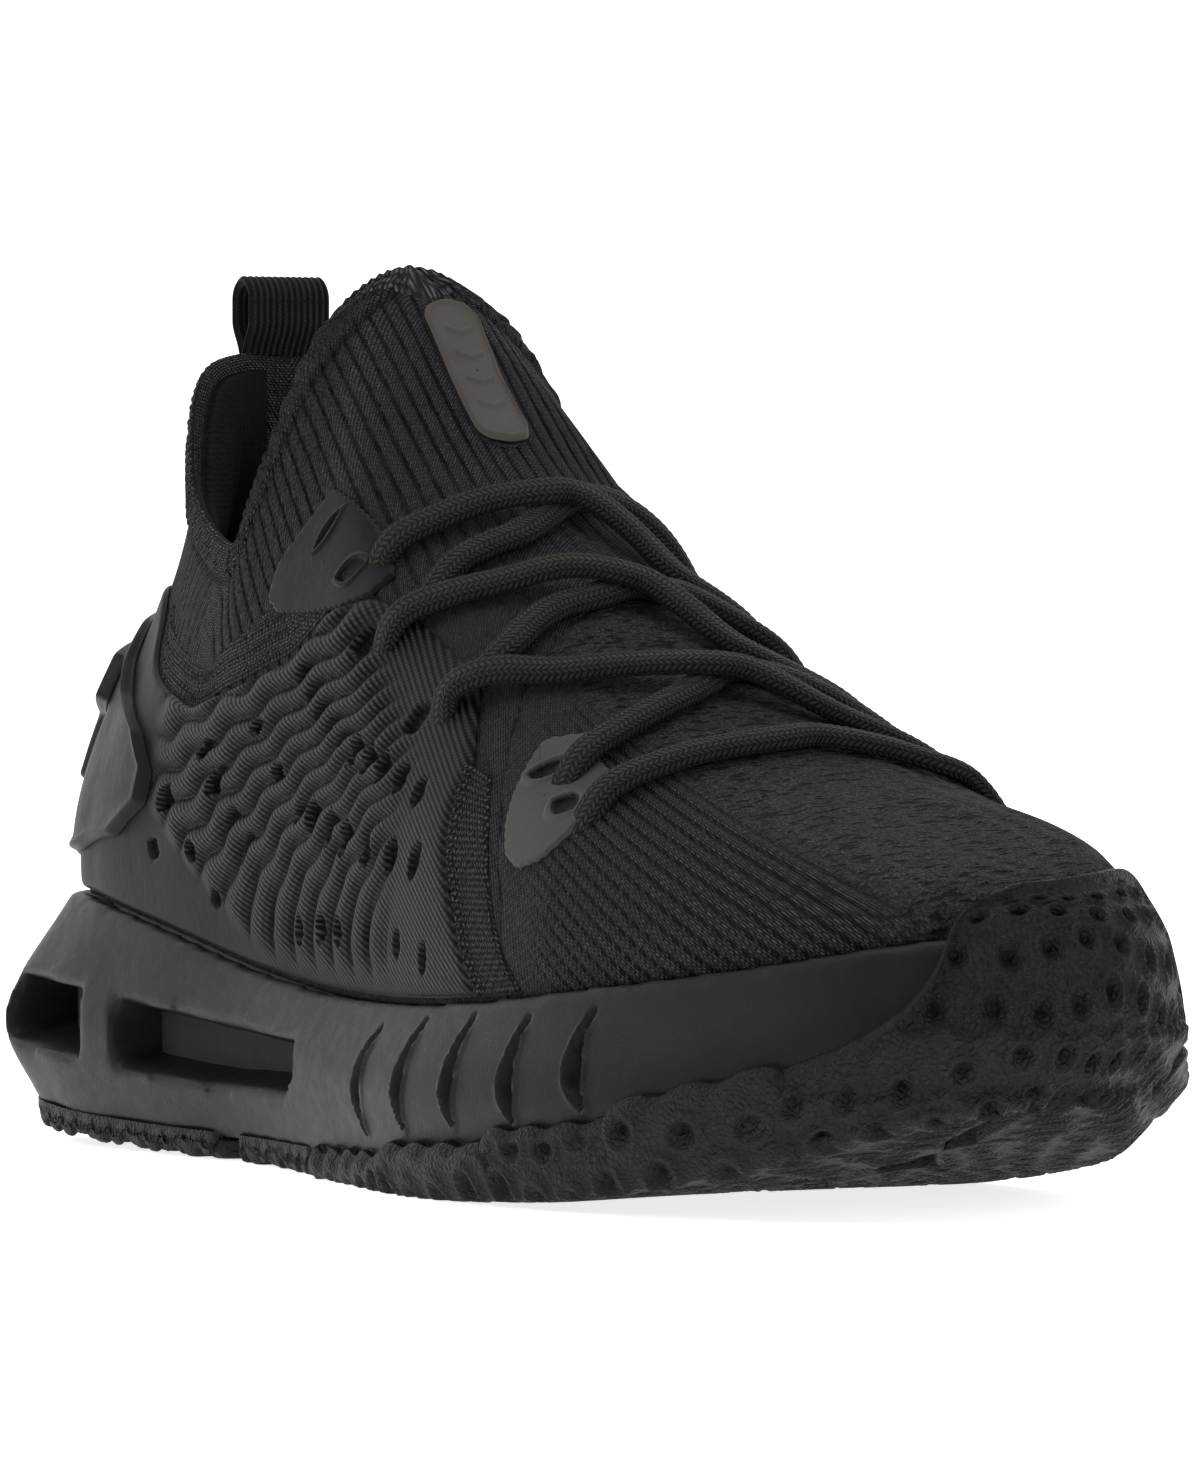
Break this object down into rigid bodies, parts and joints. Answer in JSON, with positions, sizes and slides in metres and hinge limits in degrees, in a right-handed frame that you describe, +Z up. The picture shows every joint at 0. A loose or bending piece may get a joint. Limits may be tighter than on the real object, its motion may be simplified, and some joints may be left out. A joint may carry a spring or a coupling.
{
  "type": "running shoe",
  "caption": "Low-cut right running shoe with a knit sock upper, moulded quarter panels, framed foam midsole and a rubber outsole that wraps up over the toe.",
  "frame": {"origin": "on the floor, under the middle of the shoe's box", "axes": "+X to the toe, -Y to the outer (lateral) side, +Z up"},
  "size_m": [0.2999, 0.1065, 0.1482],
  "materials": {
    "midsole_foam": "matte moulded foam",
    "core_foam": "soft foam",
    "core_mesh": "open stretch mesh",
    "outsole_rubber": "textured rubber",
    "strobel_cloth": "non-woven board",
    "sockliner_foam": "brushed cloth over foam",
    "rib_knit": "two by two rib knit",
    "toe_knit": "diagonal rib knit with mesh holes",
    "moulded_panel": "fine corded texture",
    "counter_gloss": "glossy",
    "emblem_gloss": "glossy",
    "stiffener": "plain sheet",
    "lining": "brushed knit",
    "patch_dark": "glossy film",
    "patch_grey": "glossy film",
    "badge_rubber": "soft moulded rubber",
    "seam_thread": "overlock stitch",
    "webbing": "ribbed webbing",
    "lace_braid": "flat braid",
    "aglet_plastic": "clear-coated tip"
  },
  "bodies": {
    "rearfoot": {"midsole_rear": "midsole_foam", "cushion_core": "core_foam", "core_wrap": "core_mesh", "outsole_forefoot_lateral": "outsole_rubber", "outsole_forefoot_medial": "outsole_rubber", "outsole_midfoot": "outsole_rubber", "outsole_heel_lateral": "outsole_rubber", "outsole_heel_medial": "outsole_rubber", "strobel_board": "strobel_cloth", "sockliner": "sockliner_foam", "knit_collar": "rib_knit", "knit_vamp": "toe_knit", "quarter_panel_lateral": "moulded_panel", "quarter_panel_medial": "moulded_panel", "heel_counter": "counter_gloss", "heel_emblem": "emblem_gloss", "heel_stiffener": "stiffener", "ankle_pad_lateral": "lining", "ankle_pad_medial": "lining", "eyelet_patch_upper_lateral": "patch_dark", "eyelet_patch_upper_medial": "patch_dark", "eyelet_patch_toe_lateral": "patch_grey", "eyelet_patch_toe_medial": "patch_grey", "tongue_badge": "badge_rubber", "vamp_seam_tape": "seam_thread", "tab_anchor": "webbing", "lace": "lace_braid", "lace_aglets": "aglet_plastic"},
    "forefoot": {"midsole_forefoot": "midsole_foam", "outsole_toe": "outsole_rubber", "toe_puff": "stiffener"},
    "pull_tab": {"pull_tab": "webbing"}
  },
  "joints": [
    {"name": "toe_flex", "type": "hinge", "parent": "rearfoot", "child": "forefoot", "pos_m": [0.062, 0, 0.014], "axis": [0, -1, 0], "range_deg": [0, 30], "stiffness_Nm_per_rad": 6, "deforming": ["knit_vamp", "vamp_seam_tape", "quarter_panel_lateral", "quarter_panel_medial", "eyelet_patch_toe_lateral", "eyelet_patch_toe_medial", "sockliner", "strobel_board", "lace"]},
    {"name": "tab_fold", "type": "hinge", "parent": "rearfoot", "child": "pull_tab", "pos_m": [-0.1165, 0, 0.1334], "axis": [0, -1, 0], "range_deg": [-20, 45], "stiffness_Nm_per_rad": 0.02}
  ]
}
